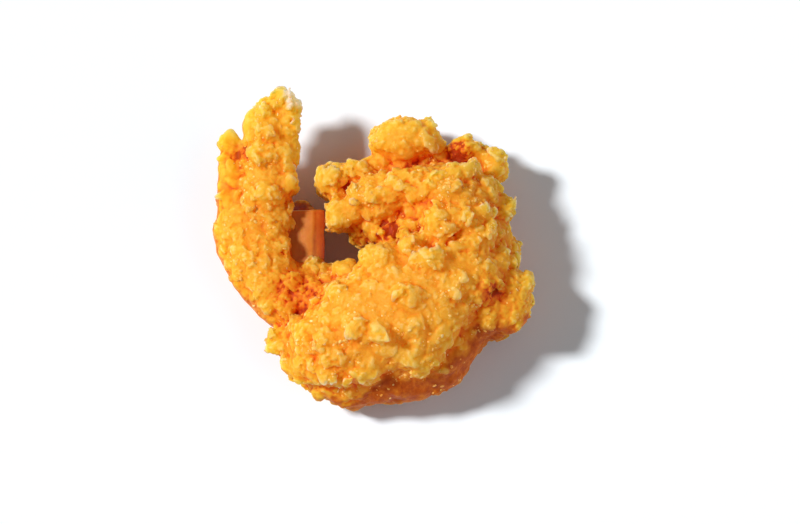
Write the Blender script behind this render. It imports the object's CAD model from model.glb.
import math

import bmesh
import bpy
import numpy as np
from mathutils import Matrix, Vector


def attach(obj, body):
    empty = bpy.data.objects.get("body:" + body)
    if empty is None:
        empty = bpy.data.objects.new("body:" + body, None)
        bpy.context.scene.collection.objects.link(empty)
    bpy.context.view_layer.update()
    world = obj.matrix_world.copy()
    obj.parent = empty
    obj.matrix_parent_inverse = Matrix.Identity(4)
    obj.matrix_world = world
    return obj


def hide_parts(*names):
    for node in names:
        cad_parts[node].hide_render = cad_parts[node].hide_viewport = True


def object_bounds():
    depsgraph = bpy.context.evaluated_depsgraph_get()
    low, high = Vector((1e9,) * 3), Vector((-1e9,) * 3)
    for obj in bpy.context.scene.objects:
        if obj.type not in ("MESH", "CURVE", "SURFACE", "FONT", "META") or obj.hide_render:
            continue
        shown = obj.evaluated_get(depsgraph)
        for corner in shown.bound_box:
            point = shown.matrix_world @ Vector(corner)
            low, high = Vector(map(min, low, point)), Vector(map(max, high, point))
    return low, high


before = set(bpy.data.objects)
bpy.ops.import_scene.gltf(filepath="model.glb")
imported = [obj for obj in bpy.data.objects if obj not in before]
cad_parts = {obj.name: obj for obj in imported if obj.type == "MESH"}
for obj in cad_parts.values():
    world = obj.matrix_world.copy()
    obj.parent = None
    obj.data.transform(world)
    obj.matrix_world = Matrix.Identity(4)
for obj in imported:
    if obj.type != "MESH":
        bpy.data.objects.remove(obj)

cad_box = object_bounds()


# ---------------------------------------------------------------- camera, light and table
# A white table top, lit from one side. The low, fairly small source stands to the left and a little behind,
# so shadows fall to the right, and pale surroundings fill them. The camera looks almost straight down
# through a long lens, tipped so that a little of the near flank shows.

low, high = np.array(cad_box[0]), np.array(cad_box[1])
middle = (low + high) / 2.0
across = float(high[0] - low[0])

ELEVATION = 80.0                 # degrees above the table
LENS, SENSOR = 135.0, 36.0       # millimetres
FRAME_WIDTH = 2.47 * across      # how much of the table the camera takes in, at the shrimp
AIM_RIGHT = 0.083 * across       # the shrimp stands left of the middle
AIM_UP = -0.037 * across

tilt = math.radians(ELEVATION)
to_camera = Vector((0.0, -math.cos(tilt), math.sin(tilt)))
camera_up = Vector((0.0, math.sin(tilt), math.cos(tilt)))
target = Vector((middle[0], middle[1], 0.4 * high[2])) + Vector((AIM_RIGHT, 0.0, 0.0)) + AIM_UP * camera_up
lens = bpy.data.cameras.new("camera")
lens.lens, lens.sensor_width = LENS, SENSOR
lens.clip_start, lens.clip_end = 0.01, 20.0
camera = bpy.data.objects.new("camera", lens)
camera.location = target + to_camera * (LENS / SENSOR * FRAME_WIDTH)
camera.rotation_euler = (math.pi / 2.0 - tilt, 0.0, 0.0)
bpy.context.scene.collection.objects.link(camera)
bpy.context.scene.camera = camera
bpy.context.scene.view_settings.view_transform = "Standard"

SUN_TOWARDS = -14.0              # where the shadows fall, in degrees from +X
ROOM_LIGHT = 0.15                # what comes evenly from all round
# Each light's name, energy, elevation, heading and spread in degrees: a soft box to the left, and a pale
# wall to the right that gives back some of its light.
LIGHTS = (("key", 3.95, 45.0, SUN_TOWARDS, 9.5), ("wall", 1.0, 22.0, SUN_TOWARDS + 180.0, 80.0))
for name, energy, elevation, heading, spread in LIGHTS:
    lamp = bpy.data.lights.new(name, "SUN")
    lamp.energy, lamp.angle = energy, math.radians(spread)
    light = bpy.data.objects.new(name, lamp)
    slope, heading = math.radians(elevation), math.radians(heading)
    flat = math.cos(slope)
    beam = Vector((flat * math.cos(heading), flat * math.sin(heading), -math.sin(slope)))
    light.rotation_euler = beam.to_track_quat("-Z", "Y").to_euler()
    bpy.context.scene.collection.objects.link(light)

room = bpy.data.worlds.new("room")
room.use_nodes = True
room.node_tree.nodes["Background"].inputs["Color"].default_value = (1.0, 1.0, 1.0, 1.0)
room.node_tree.nodes["Background"].inputs["Strength"].default_value = ROOM_LIGHT
bpy.context.scene.world = room


def linear(code, alpha=1.0):
    """The linear colour of an sRGB hex code: c / 12.92 below 0.04045, else ((c + 0.055) / 1.055) ^ 2.4."""
    values = np.array([int(code[k:k + 2], 16) for k in (1, 3, 5)]) / 255.0
    bent = np.where(values <= 0.04045, values / 12.92, ((values + 0.055) / 1.055) ** 2.4)
    return (*bent.tolist(), alpha)


def add(tree, kind, settings=None, links=None, stops=()):
    """A node with its settings and links, and a colour ramp's stops as (place, sRGB code) pairs.

    Settings go to the node's properties or, by name or number, to its inputs. Links go to its inputs.
    """
    node = tree.nodes.new(kind)
    for name, value in (settings or {}).items():
        if isinstance(name, str) and hasattr(node, name):
            setattr(node, name, value)
        else:
            node.inputs[name].default_value = value
    for name, source in (links or {}).items():
        tree.links.new(source, node.inputs[name])
    for place, _ in stops[1:-1]:
        node.color_ramp.elements.new(place)
    for stop, (place, code) in zip(node.color_ramp.elements if stops else (), stops):
        stop.position, stop.color = place, linear(code)
    return node


def material(name):
    """An empty node material with its output node."""
    made = bpy.data.materials.new(name)
    made.use_nodes = True
    made.node_tree.nodes.clear()
    return made, made.node_tree, made.node_tree.nodes.new("ShaderNodeOutputMaterial")


reach = 40.0 * across            # half the table top
slab = bpy.data.meshes.new("table_top")
slab.from_pydata([(-reach, -reach, 0.0), (reach, -reach, 0.0), (reach, reach, 0.0), (-reach, reach, 0.0)],
                 [], [(0, 1, 2, 3)])
table_top = bpy.data.objects.new("table_top", slab)
bpy.context.scene.collection.objects.link(table_top)
# White laminate, matt, so that only a trace of the crust's colour comes back from it.
laminate, tree, out = material("matt white laminate")
matt = add(tree, "ShaderNodeBsdfPrincipled", {"Base Color": linear("#eef5fa"), "Roughness": 0.9})
tree.links.new(matt.outputs[0], out.inputs["Surface"])
slab.materials.append(laminate)


# ---------------------------------------------------------------- fried crust
# The coating is flour and batter, shaken on in clumps and set hard in hot oil. It is a foam of crags: lumps
# of 2 to 4 mm, crumbs of half a millimetre on them, deep creases between, pale on top and redder below.

MM = 0.001
# The plain form, the form with its clumps on, and the whole crust are each fused at a grain of their own.
FORM_GRAIN, BLANK_GRAIN, CRUST_GRAIN = 0.40 * MM, 0.28 * MM, 0.17 * MM
CRUST_TRIANGLES = 196000


def mesh_from(name, corners, faces):
    """A mesh from arrays of corners and faces."""
    made = bpy.data.meshes.new(name)
    made.from_pydata(corners.tolist(), [], faces.tolist())
    return made


def corners_of(mesh):
    """The corners of a mesh, one row each."""
    flat = np.empty(len(mesh.vertices) * 3)
    mesh.vertices.foreach_get("co", flat)
    return flat.reshape(-1, 3)


def outward_of(mesh):
    """The normal at every corner of a mesh."""
    flat = np.empty(len(mesh.vertices) * 3)
    mesh.vertices.foreach_get("normal", flat)
    return flat.reshape(-1, 3)


def finished(mesh, *steps):
    """The mesh that comes out of a list of (modifier type, settings)."""
    carrier = bpy.data.objects.new("carrier", mesh)
    bpy.context.scene.collection.objects.link(carrier)
    for kind, settings in steps:
        modifier = carrier.modifiers.new(kind, kind)
        for name, value in settings.items():
            setattr(modifier, name, value)
    result = bpy.data.meshes.new_from_object(carrier.evaluated_get(bpy.context.evaluated_depsgraph_get()))
    bpy.data.objects.remove(carrier)
    return result


def faces_of(mesh):
    """Middle, normal and area of every face."""
    count = len(mesh.polygons)
    middles, normals, areas = np.empty(count * 3), np.empty(count * 3), np.empty(count)
    mesh.polygons.foreach_get("center", middles)
    mesh.polygons.foreach_get("normal", normals)
    mesh.polygons.foreach_get("area", areas)
    return middles.reshape(-1, 3), normals.reshape(-1, 3), areas


def ball(subdivisions):
    """Corners and triangles of an icosphere of radius 1."""
    solid = bmesh.new()
    bmesh.ops.create_icosphere(solid, subdivisions=subdivisions, radius=1.0)
    corners = np.array([v.co for v in solid.verts])
    triangles = np.array([[v.index for v in f.verts] for f in solid.faces])
    solid.free()
    return corners, triangles


def crags(random, places, normals, sizes, tall, sink, subdivisions, cuts=8, depth=(0.45, 0.95)):
    """Crags: unit balls cut by planes, radius(u) = min(1, least d / (u . n)), stretched, turned, set down.

    Each has its own plane normals n and depths d, and comes out as a chip with flat sides and blunt edges.
    Normals say which way they stand, sizes are radii, tall is height to width, and sink is in radii.
    """
    directions, triangles = ball(subdivisions)
    count = len(places)
    plane = random.normal(size=(count, cuts, 3))
    plane /= np.linalg.norm(plane, axis=2, keepdims=True)
    depths = random.uniform(*depth, (count, 1, cuts))
    facing = np.einsum("vj,nkj->nvk", directions, plane)
    radius = np.minimum(1.0, (depths / np.maximum(facing, 1e-3)).min(axis=2))
    side = np.cross(normals, random.normal(size=normals.shape))
    side /= np.linalg.norm(side, axis=1, keepdims=True)
    frames = np.stack([side, np.cross(normals, side), normals], axis=1)
    long, wide, high = [random.uniform(*span, count) for span in ((0.8, 1.5), (0.6, 1.0), (0.6, 1.2))]
    stretch = sizes[:, None] * np.stack([long, wide, tall * high], axis=1)
    shape = directions[None] * radius[..., None]
    corners = np.einsum("nvk,nk,nkj->nvj", shape, stretch, frames)
    corners += (places - normals * (sizes * sink)[:, None])[:, None]
    shifted = triangles[None] + (np.arange(count) * len(directions))[:, None, None]
    return corners.reshape(-1, 3), shifted.reshape(-1, 3)


def joined(*solids):
    """One array of corners and one of triangles from several."""
    starts = np.cumsum([0] + [len(corners) for corners, _ in solids[:-1]])
    return (np.concatenate([corners for corners, _ in solids]),
            np.concatenate([triangles + start for (_, triangles), start in zip(solids, starts)]))


def triangles_of(mesh):
    """The corner numbers of every triangle of a mesh, one row each."""
    mesh.calc_loop_triangles()
    flat = np.empty(len(mesh.loop_triangles) * 3, dtype=np.int64)
    mesh.loop_triangles.foreach_get("vertices", flat)
    return flat.reshape(-1, 3)


def evened(mesh, values, rounds, share=0.5):
    """Values on corners, each moved a share of the way to its neighbours' mean, so many rounds over."""
    flat = np.empty(len(mesh.edges) * 2, dtype=np.int64)
    mesh.edges.foreach_get("vertices", flat)
    a, b = flat.reshape(-1, 2).T
    count = len(mesh.vertices)
    degree = np.bincount(a, minlength=count) + np.bincount(b, minlength=count)
    values = values.copy()
    for _ in range(rounds):
        total = np.stack([np.bincount(a, column[b], count) + np.bincount(b, column[a], count)
                          for column in values.T], axis=1)
        values += share * (total / np.maximum(degree, 1)[:, None] - values)
    return values


def hashed(cell, seed, channel):
    """A number from 0 to 1 for every cell: its whole coordinates mixed by odd factors and shifts."""
    c = cell.astype(np.int64)
    n = c[:, 0] * 73856093 ^ c[:, 1] * 19349663 ^ c[:, 2] * 83492791 ^ (seed * 2654435761 + channel * 97531)
    n = (n ^ (n >> 13)) * 1274126177 & 0x7FFFFFFF
    n = (n ^ (n >> 15)) * 1911520717 & 0x7FFFFFFF
    return ((n ^ (n >> 16)) & 0xFFFFF) / float(0x100000)


def cloud(points, size, seed):
    """Smooth noise from -1 to 1: hashed values on a lattice of that size, blended with t t (3 - 2 t)."""
    q = points / size
    cell = np.floor(q)
    t = q - cell
    t = t * t * (3.0 - 2.0 * t)
    total = np.zeros(len(points))
    for corner in np.ndindex(2, 2, 2):
        weight = np.prod(np.where(np.array(corner) == 1, t, 1.0 - t), axis=1)
        total += weight * hashed(cell + corner, seed, 0)
    return 2.0 * total - 1.0


def flakes(points, size, seed):
    """Distance to the nearest of one random point per cell of that size, in cells, and that point's tone.

    Each point has a direction along which distances count more: away^2 = |d|^2 + 1.3 (d . along)^2.
    """
    q = points / size
    home = np.floor(q)
    first = np.full(len(points), 9.0)
    tone = np.zeros(len(points))
    for step in np.ndindex(3, 3, 3):
        cell = home + (np.array(step) - 1)
        d = q - cell - np.stack([hashed(cell, seed, channel) for channel in (1, 2, 3)], axis=1)
        along = np.stack([hashed(cell, seed, channel) for channel in (5, 6, 7)], axis=1) - 0.5
        along /= np.linalg.norm(along, axis=1, keepdims=True) + 1e-9
        away = np.sqrt((d ** 2).sum(axis=1) + 1.3 * (d * along).sum(axis=1) ** 2)
        tone = np.where(away < first, hashed(cell, seed, 4), tone)
        first = np.minimum(first, away)
    return first, tone


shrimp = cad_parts["shrimp"]
random = np.random.default_rng(7)

whole = bmesh.new()
whole.from_mesh(shrimp.data)
bmesh.ops.remove_doubles(whole, verts=whole.verts[:], dist=1e-6)
copy = bpy.data.meshes.new("form")
whole.to_mesh(copy)
whole.free()
form = finished(copy, ("REMESH", {"mode": "VOXEL", "voxel_size": FORM_GRAIN}),
                ("SMOOTH", {"factor": 0.5, "iterations": 12}))


# Edge of the thick crust over the thinly floured flank, in millimetres across and up the table.
CRUST_EDGE = ((-13.0, -26.5), (-9.5, -24.6), (-4.0, -24.8), (-0.5, -24.0), (2.3, -20.6), (5.0, -21.8),
              (8.5, -22.3), (10.2, -18.6), (13.0, -15.9), (16.0, -13.0), (20.0, -12.0), (26.0, -11.0))


def eased(values, start, end):
    """0 at start, 1 at end and t t (3 - 2 t) between."""
    t = np.clip((values - start) / (end - start), 0.0, 1.0)
    return t * t * (3.0 - 2.0 * t)


def flank_share(points, up):
    """1 on the smooth brown flank under the edge of the crust, 0 on the crust, with a torn border."""
    x, y, z = (points / MM).T
    edge = np.interp(x, *np.array(CRUST_EDGE).T)
    torn = 0.9 * cloud(points, 2.2 * MM, 51) + 0.4 * cloud(points, 0.8 * MM, 52)
    return eased(edge + torn - y, -0.2, 0.5) * eased(z + torn, 12.5, 11.0) * eased(x, -13.0, -10.0)


def shell_share(points, outward):
    """1 where the tail's shell is bare: the fin plate, its end, and the outer sides of the tail, else 0."""
    x, y, z = (points / MM).T
    plate = (x > -14.6) & (x < -7.9) & (y > -2.2) & (y < 9.5) & (z < 7.6)
    sideways = -(0.9 * outward[:, 0] + 0.42 * outward[:, 1])
    torn = 0.25 * cloud(points, 1.5 * MM, 53)
    outer = eased(sideways + torn, 0.55, 0.8) * eased(x, -13.5, -15.0) * eased(outward[:, 2], 0.55, 0.35)
    return np.maximum(plate * 1.0, outer)


# Where fewer crags took: the lip of the eye, the cleft between the outer fins, the inner edge of the wide
# one, and the backs of the belly and the top lobe. Millimetres across and up the table, reach and strength.
CALM = ((-4.6, -2.6, 3.0, 0.7), (-22.3, 20.6, 3.0, 0.9), (-11.4, 14.5, 4.5, 0.5), (3.5, -14.0, 12.0, 0.35),
        (5.2, 17.8, 6.0, 0.4))


def roughness(points, outward):
    """How craggy the crust is: 0 on bare shell, low on the floured flank and in the calm places, else 1."""
    x, y, z = (points / MM).T
    flank = flank_share(points, outward[:, 2])
    side_fin = eased(x, -21.8, -22.6) * eased(y, 5.0, 7.0)
    left = (1.0 - shell_share(points, outward)) * (1.0 - 0.85 * flank) * (1.0 - 0.6 * side_fin)
    for right, along, far, strength in CALM:
        left *= 1.0 - strength * eased(np.hypot(x - right, y - along), far, 0.5 * far)
    return left


middles, normals, areas = faces_of(form)
rough = roughness(middles, normals)


# Where crags broke off and left stumps, in millimetres across and up the table: the left end of the top
# lobe, the point of the side fin, the right edge of the back and the foot of the belly.
BROKEN_OFF = ((-1.6, 17.5), (-23.9, 20.3), (24.4, 8.8), (-2.8, -26.5))
STUMP = 0.3                      # what is left of such a crag


def strewn(count, sizes, tall, sink, subdivisions, weight):
    """Crags of those sizes in millimetres, strewn over the form by weight, some broken off to stumps."""
    chance = areas * weight
    chosen = random.choice(len(areas), count, p=chance / chance.sum())
    radii = random.uniform(*sizes, count) * MM
    for x, y in BROKEN_OFF:
        away = np.hypot(middles[chosen][:, 0] / MM - x, middles[chosen][:, 1] / MM - y)
        radii *= 1.0 - (1.0 - STUMP) * eased(away, 2.2, 1.4)
    return crags(random, middles[chosen], normals[chosen], radii, tall, sink, subdivisions)


def foamed(mesh):
    """Moves every corner along its normal by the crust's fine relief, and keeps how much of it is chip.

    Chips of two sizes stand on the crags: where a warped cell's tone is over bare, they rise by
    tall * (tone - bare) / (1 - bare) * e, with e going from 0 to 1 as the distance to the cell's point goes
    from 0.74 to 0.50 of the cell. All of it is sunk by the chips' mean height in millimetres.
    """
    mean_height = 0.08
    place, outward = corners_of(mesh), outward_of(mesh)
    calm = roughness(place, outward) * (0.3 + 0.7 * eased(outward[:, 2], -0.7, -0.3))
    warp = np.stack([cloud(place, 1.5 * MM, seed) for seed in (11, 12, 13)], axis=1)
    fine = np.stack([cloud(place, 0.55 * MM, seed) for seed in (14, 15, 16)], axis=1)
    total = 0.05 * cloud(place, 0.45 * MM, 35)
    chips = np.zeros(len(place))
    for size, tall, seed, bare in ((1.45, 0.22, 32, 0.40), (0.8, 0.18, 33, 0.35)):
        moved = place + MM * (0.20 * size * warp + 0.24 * size * fine)
        first, tone = flakes(moved, size * MM, seed)
        chip = np.clip((tone - bare) / (1.0 - bare), 0.0, 1.0) * eased(first, 0.74, 0.50)
        total += tall * chip
        chips = chips + tall * chip / 0.4
    moved = place + ((total - mean_height) * calm * MM)[:, None] * outward
    mesh.vertices.foreach_set("co", moved.ravel())
    mesh.update()
    mesh.attributes.new("chip", "FLOAT", "POINT").data.foreach_set("value", chips * calm)


def depth_below(points, cell=0.6, reach=5):
    """How many millimetres each point lies below the highest crust within reach cells of it in plan."""
    x, y, z = (points / MM).T
    column, row = ((x + 40.0) / cell).astype(int), ((y + 40.0) / cell).astype(int)
    tops = np.zeros((int(80.0 / cell) + 1,) * 2)
    np.maximum.at(tops, (column, row), z)
    crest = tops.copy()
    for a, b in np.ndindex(2 * reach + 1, 2 * reach + 1):
        if (a - reach) ** 2 + (b - reach) ** 2 <= reach ** 2:
            crest = np.maximum(crest, np.roll(tops, (a - reach, b - reach), axis=(0, 1)))
    for axis in (0, 1):
        for _ in range(3):
            crest = (np.roll(crest, 1, axis=axis) + crest + np.roll(crest, -1, axis=axis)) / 3.0
    return crest[column, row] - z


def thinned(mesh, target):
    """The mesh with about that many triangles: faces that look down are merged first, under the shrimp."""
    carrier = bpy.data.objects.new("carrier", mesh)
    bpy.context.scene.collection.objects.link(carrier)
    under = carrier.vertex_groups.new(name="under")
    weight = eased(outward_of(mesh)[:, 2], 0.0, -0.8)
    for level in (0.0, 0.25, 0.5, 0.75, 1.0):
        under.add(np.flatnonzero(np.abs(weight - level) <= 0.125).tolist(), 0.2 + 0.8 * level, "REPLACE")
    fewer = carrier.modifiers.new("fewer", "DECIMATE")
    fewer.ratio = min(1.0, target / len(triangles_of(mesh)))
    fewer.vertex_group, fewer.vertex_group_factor = "under", 1.0
    result = bpy.data.meshes.new_from_object(carrier.evaluated_get(bpy.context.evaluated_depsgraph_get()))
    bpy.data.objects.remove(carrier)
    return result


def largest_shell(mesh):
    """Corners and triangles of the largest connected shell, without the scraps that a remesh leaves.

    Every corner starts with its own number and takes the least one among its neighbours until none changes.
    """
    corners, triangles = corners_of(mesh), triangles_of(mesh)
    label, before = np.arange(len(corners)), None
    while before is None or (label != before).any():
        before = label.copy()
        least = label[triangles].min(axis=1)
        for column in triangles.T:
            np.minimum.at(label, column, least)
        label = label[label]
    inside = label == np.bincount(label).argmax()
    number = np.cumsum(inside) - 1
    return corners[inside], number[triangles[inside[triangles[:, 0]]]]


def drawn_in(mesh, amount):
    """Corners and triangles of a mesh drawn in along its normals by that much where it is craggy."""
    corners, outward = corners_of(mesh), outward_of(mesh)
    return corners - outward * (amount * MM * roughness(corners, outward))[:, None], triangles_of(mesh)


def patchy(points):
    """1 in patches thick with crags, 0.12 between them."""
    return np.clip(0.55 + 1.1 * cloud(points, 3.6 * MM, 21) + 0.5 * cloud(points, 1.6 * MM, 22), 0.12, 1.0)


# Batter that ran into the creases between the lobes: middle and reach of each filling, in millimetres.
FILLINGS = ((3.1, 2.0, 8.8, 2.4, 3.2, 4.2), (6.2, 3.3, 11.0, 2.4, 1.7, 3.4),
            (1.2, 5.6, 11.0, 3.0, 1.6, 3.2), (22.0, -8.8, 9.6, 4.1, 5.6, 3.7),
            (18.9, -9.6, 9.6, 2.8, 5.0, 4.6))
directions, triangles = ball(4)
fillings = [(directions * np.array(row[3:]) * MM + np.array(row[:3]) * MM, triangles) for row in FILLINGS]

FORM_SHRUNK, BLANK_SHRUNK = 0.35, 0.1     # millimetres, to make room for what is strewn on next
# How many of each size are strewn, their radii in millimetres, how tall they are to their width, how far
# their middles sink, in radii, and how finely their balls are divided.
CLUMPS = (420, (1.0, 2.0), 0.36, 0.08, 3)
LUMPS = (2700, (0.55, 1.25), 0.38, 0.02, 3)
GRAINS = (7500, (0.25, 0.55), 0.5, 0.0, 2)
clumps = strewn(*CLUMPS, rough)
blank = mesh_from("crust", *joined(drawn_in(form, FORM_SHRUNK), clumps, *fillings))
blank = finished(blank, ("REMESH", {"mode": "VOXEL", "voxel_size": BLANK_GRAIN}),
                 ("SMOOTH", {"factor": 0.5, "iterations": 2}))
middles, normals, areas = faces_of(blank)
rough = roughness(middles, normals)
lumps = strewn(*LUMPS, rough * patchy(middles))
grains = strewn(*GRAINS, rough * patchy(middles))
crust_mesh = mesh_from("crust", *joined(drawn_in(blank, BLANK_SHRUNK), lumps, grains))
crust_mesh = finished(crust_mesh, ("REMESH", {"mode": "VOXEL", "voxel_size": CRUST_GRAIN}),
                      ("SMOOTH", {"factor": 0.5, "iterations": 1}))
crust_mesh = mesh_from("crust", *largest_shell(crust_mesh))
foamed(crust_mesh)
crust_mesh = thinned(crust_mesh, CRUST_TRIANGLES)
place = corners_of(crust_mesh)
place[:, 2] = np.maximum(place[:, 2], 0.0)       # what hangs under the shrimp is pressed flat on the table
crust_mesh.vertices.foreach_set("co", place.ravel())
crust_mesh.update()
crust_mesh.name = "crust"
crust_mesh.polygons.foreach_set("use_smooth", np.ones(len(crust_mesh.polygons), dtype=bool))
crust = bpy.data.objects.new("crust", crust_mesh)
bpy.context.scene.collection.objects.link(crust)

# Where the crust is thin and redder, in millimetres across and up the table, with its reach and strength:
# the neck, the end of the inner fin, the creases between the lobes, the hollow behind the top one, the
# cleft, the outer fin and the right clump. It is thick and pale where the strength is below nought.
RUDDY = ((-12.5, -7.5, 6.0, 0.95), (-12.2, 8.0, 2.6, 1.0), (3.3, 2.2, 2.8, 1.8), (14.0, 16.2, 3.0, 1.7),
         (18.8, -8.5, 3.0, 1.1), (-4.6, 10.4, 2.0, 1.0), (-21.6, 15.6, 1.8, 1.0), (8.8, 6.2, 1.8, 0.8),
         (6.3, 13.2, 2.4, 0.8), (5.0, -8.7, 2.6, 0.5), (15.0, -1.7, 3.0, 0.5), (-24.5, 10.0, 4.0, 0.8),
         (-24.5, 16.0, 3.5, 0.75), (2.0, -12.0, 14.0, -0.3), (12.0, -4.0, 10.0, -0.2),
         (21.5, -9.5, 5.0, 0.7))


def ruddy_share(points):
    """Strength * e summed over the ruddy places, e easing from 1 at 0.3 of the torn reach to 0 at it."""
    total = np.zeros(len(points))
    torn = 0.9 * cloud(points, 2.0 * MM, 56) + 0.5 * cloud(points, 0.8 * MM, 57)
    for x, y, far, strength in RUDDY:
        away = np.hypot(points[:, 0] / MM - x, points[:, 1] / MM - y)
        total += strength * eased(away + torn, far, 0.3 * far)
    return total


# What the colours go by, on every corner: how far it stands above the crust round it, on three scales, how
# it faces, how deep it lies, and the shares of ruddy crust, brown flank, bare shell and bare flesh there.
BROKEN_TIP, BROKEN_REACH = (-12.5, 25.0), 2.7             # where the fin's end broke off, in millimetres
place, outward = corners_of(crust_mesh), outward_of(crust_mesh)
close = evened(crust_mesh, place, 4)
near = evened(crust_mesh, close, 18)
wide = evened(crust_mesh, near, 180)
broad = evened(crust_mesh, outward, 60)
broad /= np.linalg.norm(broad, axis=1, keepdims=True)
torn = cloud(place, 1.0 * MM, 54)
shown = 0.3 + 0.7 * eased(broad[:, 2], -0.6, -0.1)        # less of the relief's colour under the shrimp
off_tip = np.hypot(place[:, 0] / MM - BROKEN_TIP[0], place[:, 1] / MM - BROKEN_TIP[1])
for name, values in (("edge", shown * np.sum((place - close) * outward, axis=1) / MM),
                     ("rise", shown * np.sum((place - near) * outward, axis=1) / MM),
                     ("swell", np.sum((place - wide) * broad, axis=1) / MM),
                     ("upward", broad[:, 2]),
                     ("depth", depth_below(place)),
                     ("ruddy", ruddy_share(place)),
                     ("flank", flank_share(place, broad[:, 2])),
                     ("shell", shell_share(place, broad)),
                     ("flesh", eased(off_tip + 0.7 * torn, BROKEN_REACH, 0.55 * BROKEN_REACH))):
    crust_mesh.attributes.new(name, "FLOAT", "POINT").data.foreach_set("value", values)

# Fried batter crust: golden, translucent at thin edges, with a film of oil that gives small soft lights.
# It turns to thin brown flour on the flank, to orange shell on the tail and to white flesh at the torn tip.
batter, tree, out = material("fried batter crust")
spot = add(tree, "ShaderNodeTexCoord").outputs["Object"]
edge, rise, swell, upward, depth, ruddy, chip, flank, shell, flesh = [
    add(tree, "ShaderNodeAttribute", {"attribute_name": name}).outputs["Fac"]
    for name in ("edge", "rise", "swell", "upward", "depth", "ruddy", "chip", "flank", "shell", "flesh")]
# Patches of frying colour, flecks, flakes, and grit drawn twice as coarse as the real flour so as to show.
PATCH, FLECK, FLAKE, GRIT = 5.9 * MM, 1.1 * MM, 0.77 * MM, 0.385 * MM
patches, flecks, flaky, grit = [
    add(tree, "ShaderNodeTexNoise", {"Scale": 1.0 / size, "Detail": detail, "Roughness": share},
        {"Vector": spot}).outputs["Fac"]
    for size, detail, share in ((PATCH, 3.0, 0.6), (FLECK, 3.0, 0.6), (FLAKE, 2.0, 0.55), (GRIT, 3.0, 0.6))]

# How pale the crust is, as a weighted sum: what stands out is pale, what lies deep or thin is red.
SUNKEN = (3.0, 10.0, 0.22)       # from that many millimetres down to that many, up to that share
sunken = add(tree, "ShaderNodeMapRange",
             dict(zip(("From Min", "From Max", "To Max"), SUNKEN)), {"Value": depth}).outputs[0]
level = add(tree, "ShaderNodeMath", {"operation": "MULTIPLY", 1: 0.5}, {0: rise}).outputs[0]
for weight, value in ((0.09, swell), (1.1, edge), (0.08, chip), (0.4, patches), (0.42, flecks),
                      (0.22, upward), (-1.0, sunken), (-0.36, ruddy)):
    level = add(tree, "ShaderNodeMath", {"operation": "MULTIPLY_ADD", 1: weight},
                {0: value, 2: level}).outputs[0]

redder = add(tree, "ShaderNodeMath", {"operation": "MULTIPLY_ADD", 1: -0.5}, {0: ruddy, 2: flecks})
golden, toasted, cuticle, meat = [
    add(tree, "ShaderNodeValToRGB", {}, {0: factor}, stops).outputs["Color"] for factor, stops in (
        (level, ((0.0, "#ae3a10"), (0.08, "#cc4a12"), (0.22, "#e6731a"), (0.40, "#ee9122"),
                 (0.60, "#f0a029"), (0.80, "#f1ab39"), (1.0, "#f2b95c"))),
        (flecks, ((0.3, "#a8420f"), (0.5, "#c05714"), (0.7, "#d4741f"))),
        (redder.outputs[0], ((0.0, "#8e2c0c"), (0.3, "#c2501c"), (0.5, "#dc7428"), (0.75, "#ec9a4a"))),
        (flecks, ((0.3, "#efb07c"), (0.5, "#f4c49c"), (0.7, "#f8dcc4"))))]
colour = golden
for share, over in ((flank, toasted), (shell, cuticle), (flesh, meat)):
    colour = add(tree, "ShaderNodeMix", {"data_type": "RGBA"}, {0: share, 6: colour, 7: over}).outputs[2]
flaked = add(tree, "ShaderNodeBump", {"Strength": 0.6, "Distance": 0.2 * MM}, {"Height": flaky})
relief = add(tree, "ShaderNodeBump", {"Strength": 0.6, "Distance": 0.12 * MM},
             {"Height": grit, "Normal": flaked.outputs["Normal"]})
surface = add(tree, "ShaderNodeBsdfPrincipled", {
    "Roughness": 0.5, "IOR": 1.44, "Subsurface Weight": 0.65, "Subsurface Radius": (1.0, 0.75, 0.3),
    "Subsurface Scale": 18.0 * MM, "Specular IOR Level": 0.10},
    {"Base Color": colour, "Normal": relief.outputs["Normal"]})
tree.links.new(surface.outputs[0], out.inputs["Surface"])
crust_mesh.materials.clear()
crust_mesh.materials.append(batter)
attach(crust, "root")
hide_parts("shrimp")


# ---------------------------------------------------------------- bare fin plate
# The inner blade of the tail fan, which took no batter: a stiff plate of cooked shell half a millimetre
# thick, broken off square at its end, with a rib along it. It grows out of the tail under the outer crust.

PLATE_LEFT, PLATE_RIGHT = -14.6, -8.1          # millimetres across
PLATE_FOOT, PLATE_END = -2.4, 6.9              # and along
PLATE_TOP, PLATE_THICK = 6.75, 0.55
RIB, REDDEST = -10.1, -8.2                     # its rib, and where its red edge begins


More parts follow.
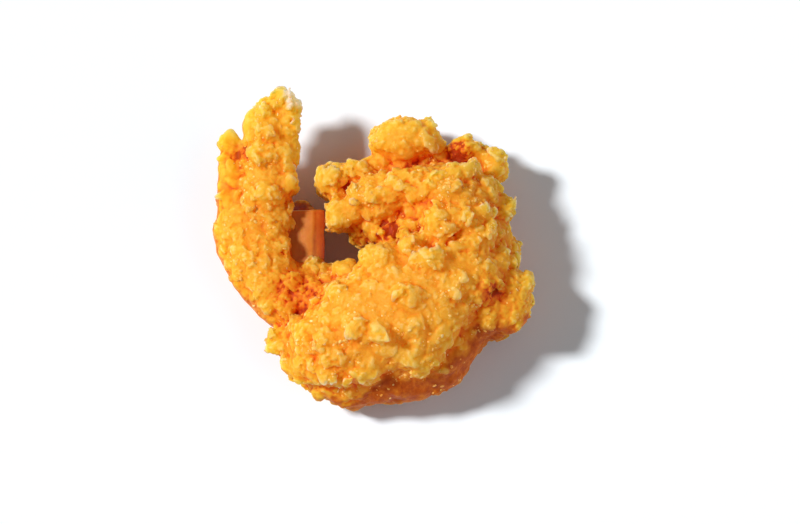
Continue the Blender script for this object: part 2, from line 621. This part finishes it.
def plate_surface(rings, points):
    """A flat bar carried along the fin: the loop is a superellipse |x / a| ^ 5 + |z / b| ^ 5 = 1.

    b shrinks to a quarter over the last 0.3 mm of either end. The plate is raised by 0.4 (1 - u^2) across,
    by 0.28 exp(-((x - rib) / 0.35)^2) along the rib, and dented by soft noise. All in millimetres.
    """
    along = np.linspace(0.0, 1.0, rings)
    angle = np.linspace(0.0, 2.0 * np.pi, points, endpoint=False)
    c, s = np.cos(angle), np.sin(angle)
    across = np.sign(c) * np.abs(c) ** 0.4
    up = np.sign(s) * np.abs(s) ** 0.4
    y = PLATE_FOOT + (PLATE_END - PLATE_FOOT) * along
    inset = 1.0 - 0.75 * eased(np.minimum(y - PLATE_FOOT, PLATE_END - y), 0.3, 0.0)
    half = 0.5 * (PLATE_RIGHT - PLATE_LEFT)
    u, v = across[None, :] * np.ones(rings)[:, None], up[None, :] * inset[:, None]
    x = PLATE_LEFT + half + half * u * (1.0 - 0.02 * (1.0 - inset))[:, None]
    z = PLATE_TOP + 0.5 * PLATE_THICK * v + 0.4 * (1.0 - u ** 2) + 0.28 * np.exp(-((x - RIB) / 0.35) ** 2)
    place = np.stack([x, np.broadcast_to(y[:, None], x.shape), z], axis=2).reshape(-1, 3) * MM
    place[:, 0] += 0.12 * MM * cloud(place, 1.6 * MM, 61)
    place[:, 1] += 0.18 * MM * cloud(place, 0.9 * MM, 62)
    place[:, 2] += 0.10 * MM * cloud(place, 1.2 * MM, 63)
    return place


rings, points = 60, 96           # loops along the plate, and corners round each
walls = plate_surface(rings, points)
k, j = np.meshgrid(np.arange(rings - 1), np.arange(points), indexing="ij")
here, after = (k * points + j).ravel(), (k * points + (j + 1) % points).ravel()
quads = np.stack([here + points, after + points, after, here], axis=1)
ends = [list(range(points)), list(range((rings - 1) * points, rings * points))[::-1]]
plate_mesh = bpy.data.meshes.new("fin_plate")
plate_mesh.from_pydata(walls.tolist(), [], quads.tolist() + ends)
plate_mesh.polygons.foreach_set("use_smooth", np.ones(len(plate_mesh.polygons), dtype=bool))
fin_plate = bpy.data.objects.new("fin_plate", plate_mesh)
bpy.context.scene.collection.objects.link(fin_plate)

# Cooked shell: thin glossy chitin, orange along the rib and redder towards the free edge.
chitin, tree, out = material("cooked shrimp shell")
spot = add(tree, "ShaderNodeTexCoord").outputs["Object"]
side = add(tree, "ShaderNodeSeparateXYZ", {}, {0: spot}).outputs[0]
near_rib = add(tree, "ShaderNodeMapRange", {"From Min": REDDEST * MM, "From Max": RIB * MM},
               {"Value": side}).outputs[0]
STREAK = 1.0 / 700.0             # metres between the streaks in the shell
streaks = add(tree, "ShaderNodeTexNoise", {"Scale": 1.0 / STREAK, "Detail": 3.0, "Roughness": 0.6},
              {"Vector": spot}).outputs["Fac"]
half = add(tree, "ShaderNodeMath", {"operation": "MULTIPLY", 1: 0.5}, {0: near_rib})
tint = add(tree, "ShaderNodeMath", {"operation": "MULTIPLY_ADD", 1: 0.6}, {0: streaks, 2: half.outputs[0]})
colour = add(tree, "ShaderNodeValToRGB", {}, {0: tint.outputs[0]},
             ((0.25, "#ae3e10"), (0.55, "#c65a18"), (0.8, "#d67826"))).outputs["Color"]
relief = add(tree, "ShaderNodeBump", {"Strength": 0.5, "Distance": 0.15 * MM}, {"Height": streaks})
surface = add(tree, "ShaderNodeBsdfPrincipled", {
    "Roughness": 0.38, "IOR": 1.5, "Subsurface Weight": 0.5, "Subsurface Radius": (1.0, 0.4, 0.15),
    "Subsurface Scale": 4.0 * MM, "Specular IOR Level": 0.4},
    {"Base Color": colour, "Normal": relief.outputs["Normal"]})
tree.links.new(surface.outputs[0], out.inputs["Surface"])
plate_mesh.materials.append(chitin)
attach(fin_plate, "root")
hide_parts("shrimp")


# ---------------------------------------------------------------- loose crumbs
# Grains and chips of flour batter, 0.2 to 0.7 mm, that fried on the outside of the crust and stuck there in
# patches. They are paler than the crust under them, and stand out along the edges of its lobes.

CRUMBS = 2200
LEAST, SPAN = 0.13, 0.24         # of their radii, in millimetres
middles, normals, areas = faces_of(crust_mesh)
facing = eased(normals[:, 2], -0.3, 0.3)
patch = eased(cloud(middles, 2.4 * MM, 23) + 0.5 * cloud(middles, 1.0 * MM, 22), 0.3, 0.7)
chance = areas * (0.05 + patch) * (0.06 + 0.94 * roughness(middles, normals)) * (0.15 + 0.85 * facing)
chance *= 1.0 - np.clip(ruddy_share(middles), 0.0, 1.0)
chosen = random.choice(len(areas), CRUMBS, p=chance / chance.sum())
radii = LEAST * MM + SPAN * MM * random.random(CRUMBS) ** 1.4
corners, triangles = crags(random, middles[chosen], normals[chosen], radii, 0.6, 0.2, 1,
                           cuts=4, depth=(0.5, 0.95))
corners[:, 2] = np.maximum(corners[:, 2], 0.0)
crumb_mesh = mesh_from("crumbs", corners, triangles)
layer = crumb_mesh.attributes.new("tone", "FLOAT", "POINT")
layer.data.foreach_set("value", np.repeat(random.random(CRUMBS), len(corners_of(crumb_mesh)) // CRUMBS))
crumbs = bpy.data.objects.new("crumbs", crumb_mesh)
bpy.context.scene.collection.objects.link(crumbs)

# Dry fried crumb: pale straw to gold, each grain of one colour.
dry_crumb, tree, out = material("dry fried crumb")
tone = add(tree, "ShaderNodeAttribute", {"attribute_name": "tone"}).outputs["Fac"]
straw = add(tree, "ShaderNodeValToRGB", {}, {0: tone},
            ((0.0, "#f4a436"), (0.5, "#f9b44a"), (0.8, "#fbc35c"), (1.0, "#fdd88c"))).outputs["Color"]
surface = add(tree, "ShaderNodeBsdfPrincipled", {
    "Roughness": 0.42, "IOR": 1.45, "Subsurface Weight": 0.2, "Subsurface Radius": (1.0, 0.6, 0.3),
    "Subsurface Scale": 0.3 * MM}, {"Base Color": straw})
tree.links.new(surface.outputs[0], out.inputs["Surface"])
crumb_mesh.materials.append(dry_crumb)
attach(crumbs, "root")
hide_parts("shrimp")
